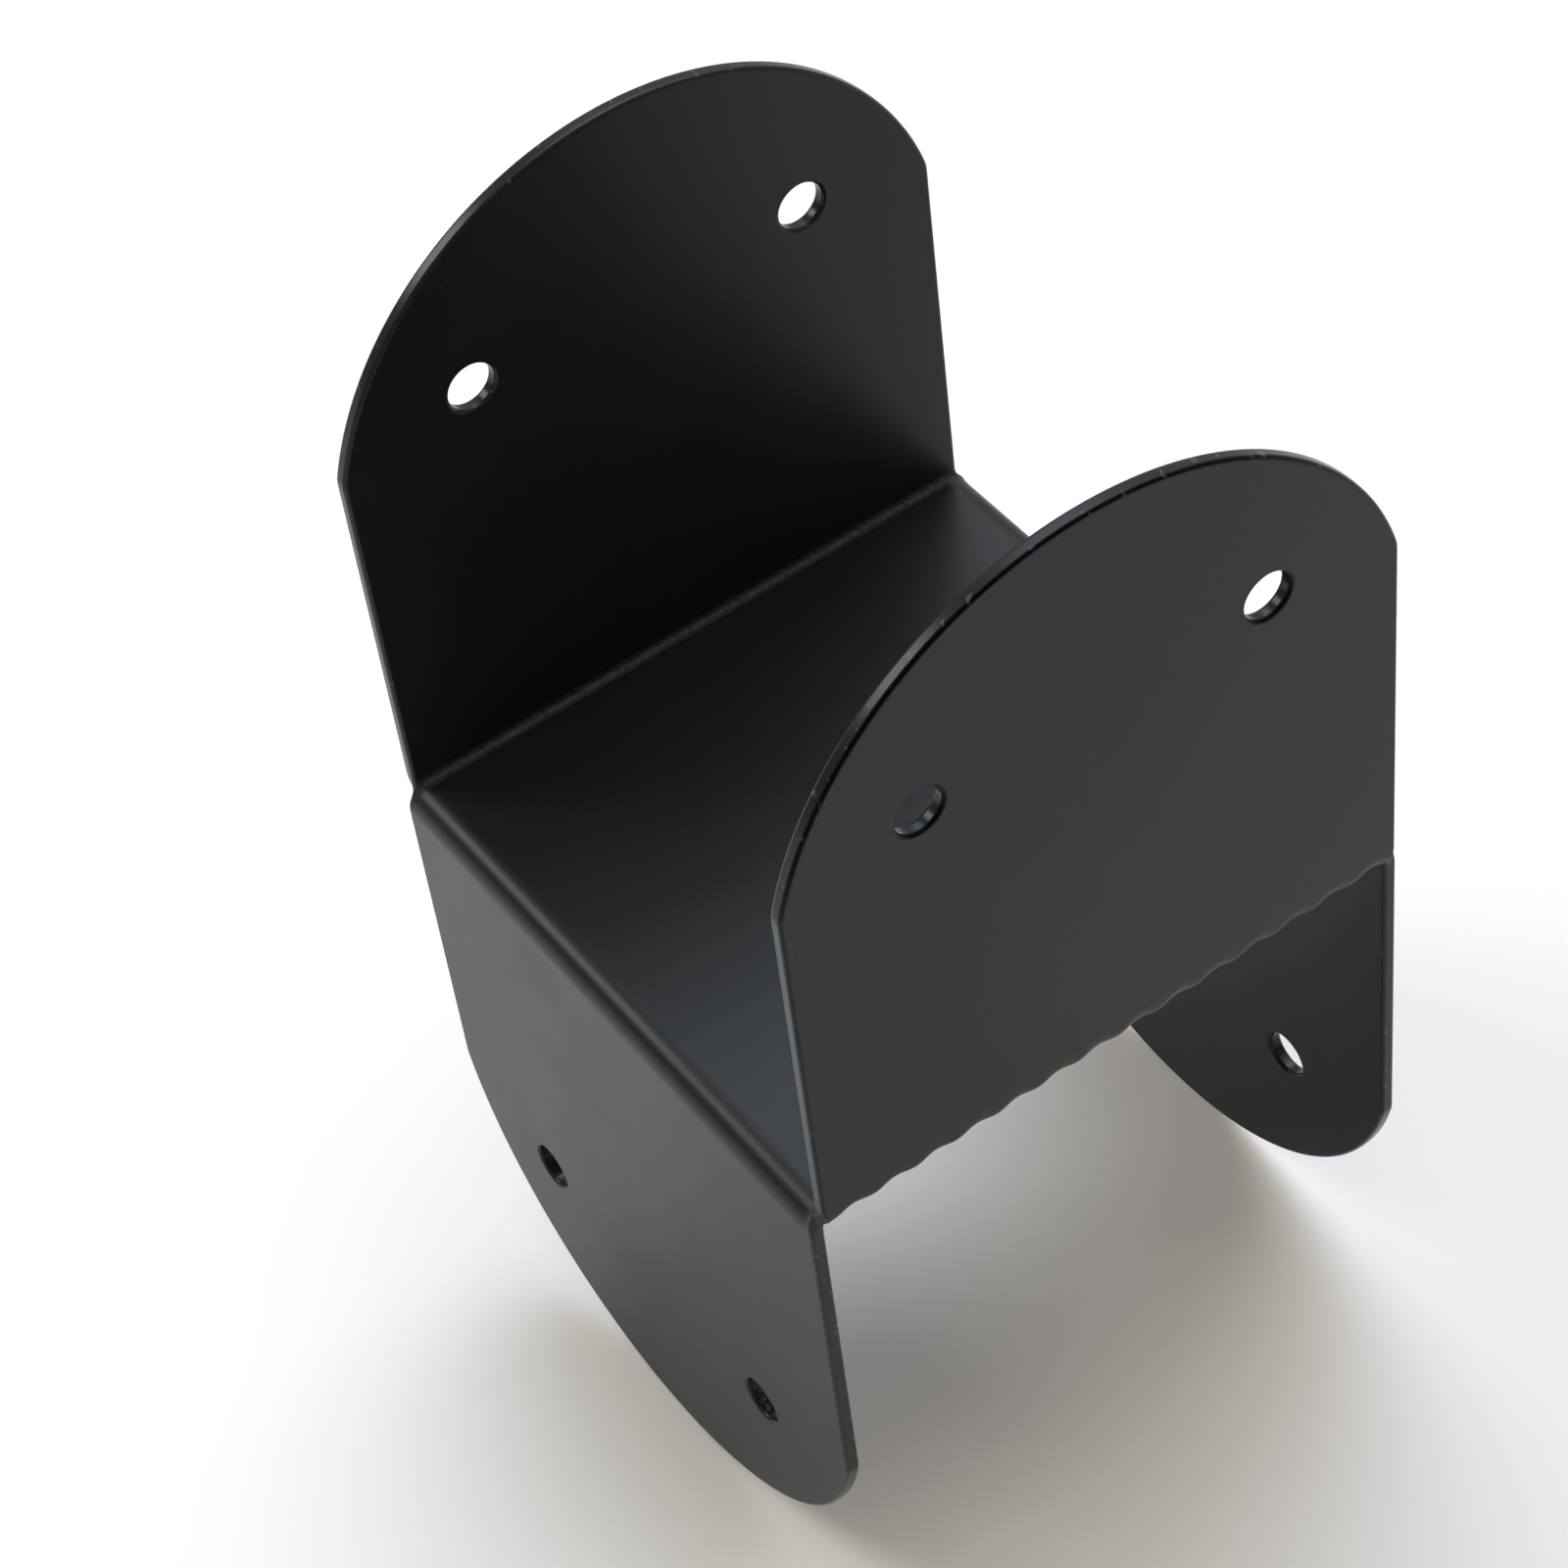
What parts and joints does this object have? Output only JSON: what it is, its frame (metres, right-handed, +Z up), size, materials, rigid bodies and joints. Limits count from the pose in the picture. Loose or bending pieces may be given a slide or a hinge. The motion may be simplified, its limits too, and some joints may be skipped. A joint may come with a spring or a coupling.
{
  "type": "post to beam bracket",
  "caption": "Folded sheet-steel bracket that seats a beam on a post: a square plate with round-ended, drilled tabs rising across one axis and hanging across the other.",
  "frame": {"origin": "centre of the square plate's underside, on the axis of the post that it rests on", "axes": "+Z up the post axis; the lower tabs stand across Y and clasp the post, the upper tabs stand across X and clasp a beam that runs along Y"},
  "size_m": [0.0948, 0.0936, 0.1829],
  "materials": {
    "powder_coat": "satin black powder coat over sheet steel"
  },
  "bodies": {
    "root": {"folded_bracket": "powder_coat"}
  },
  "joints": []
}
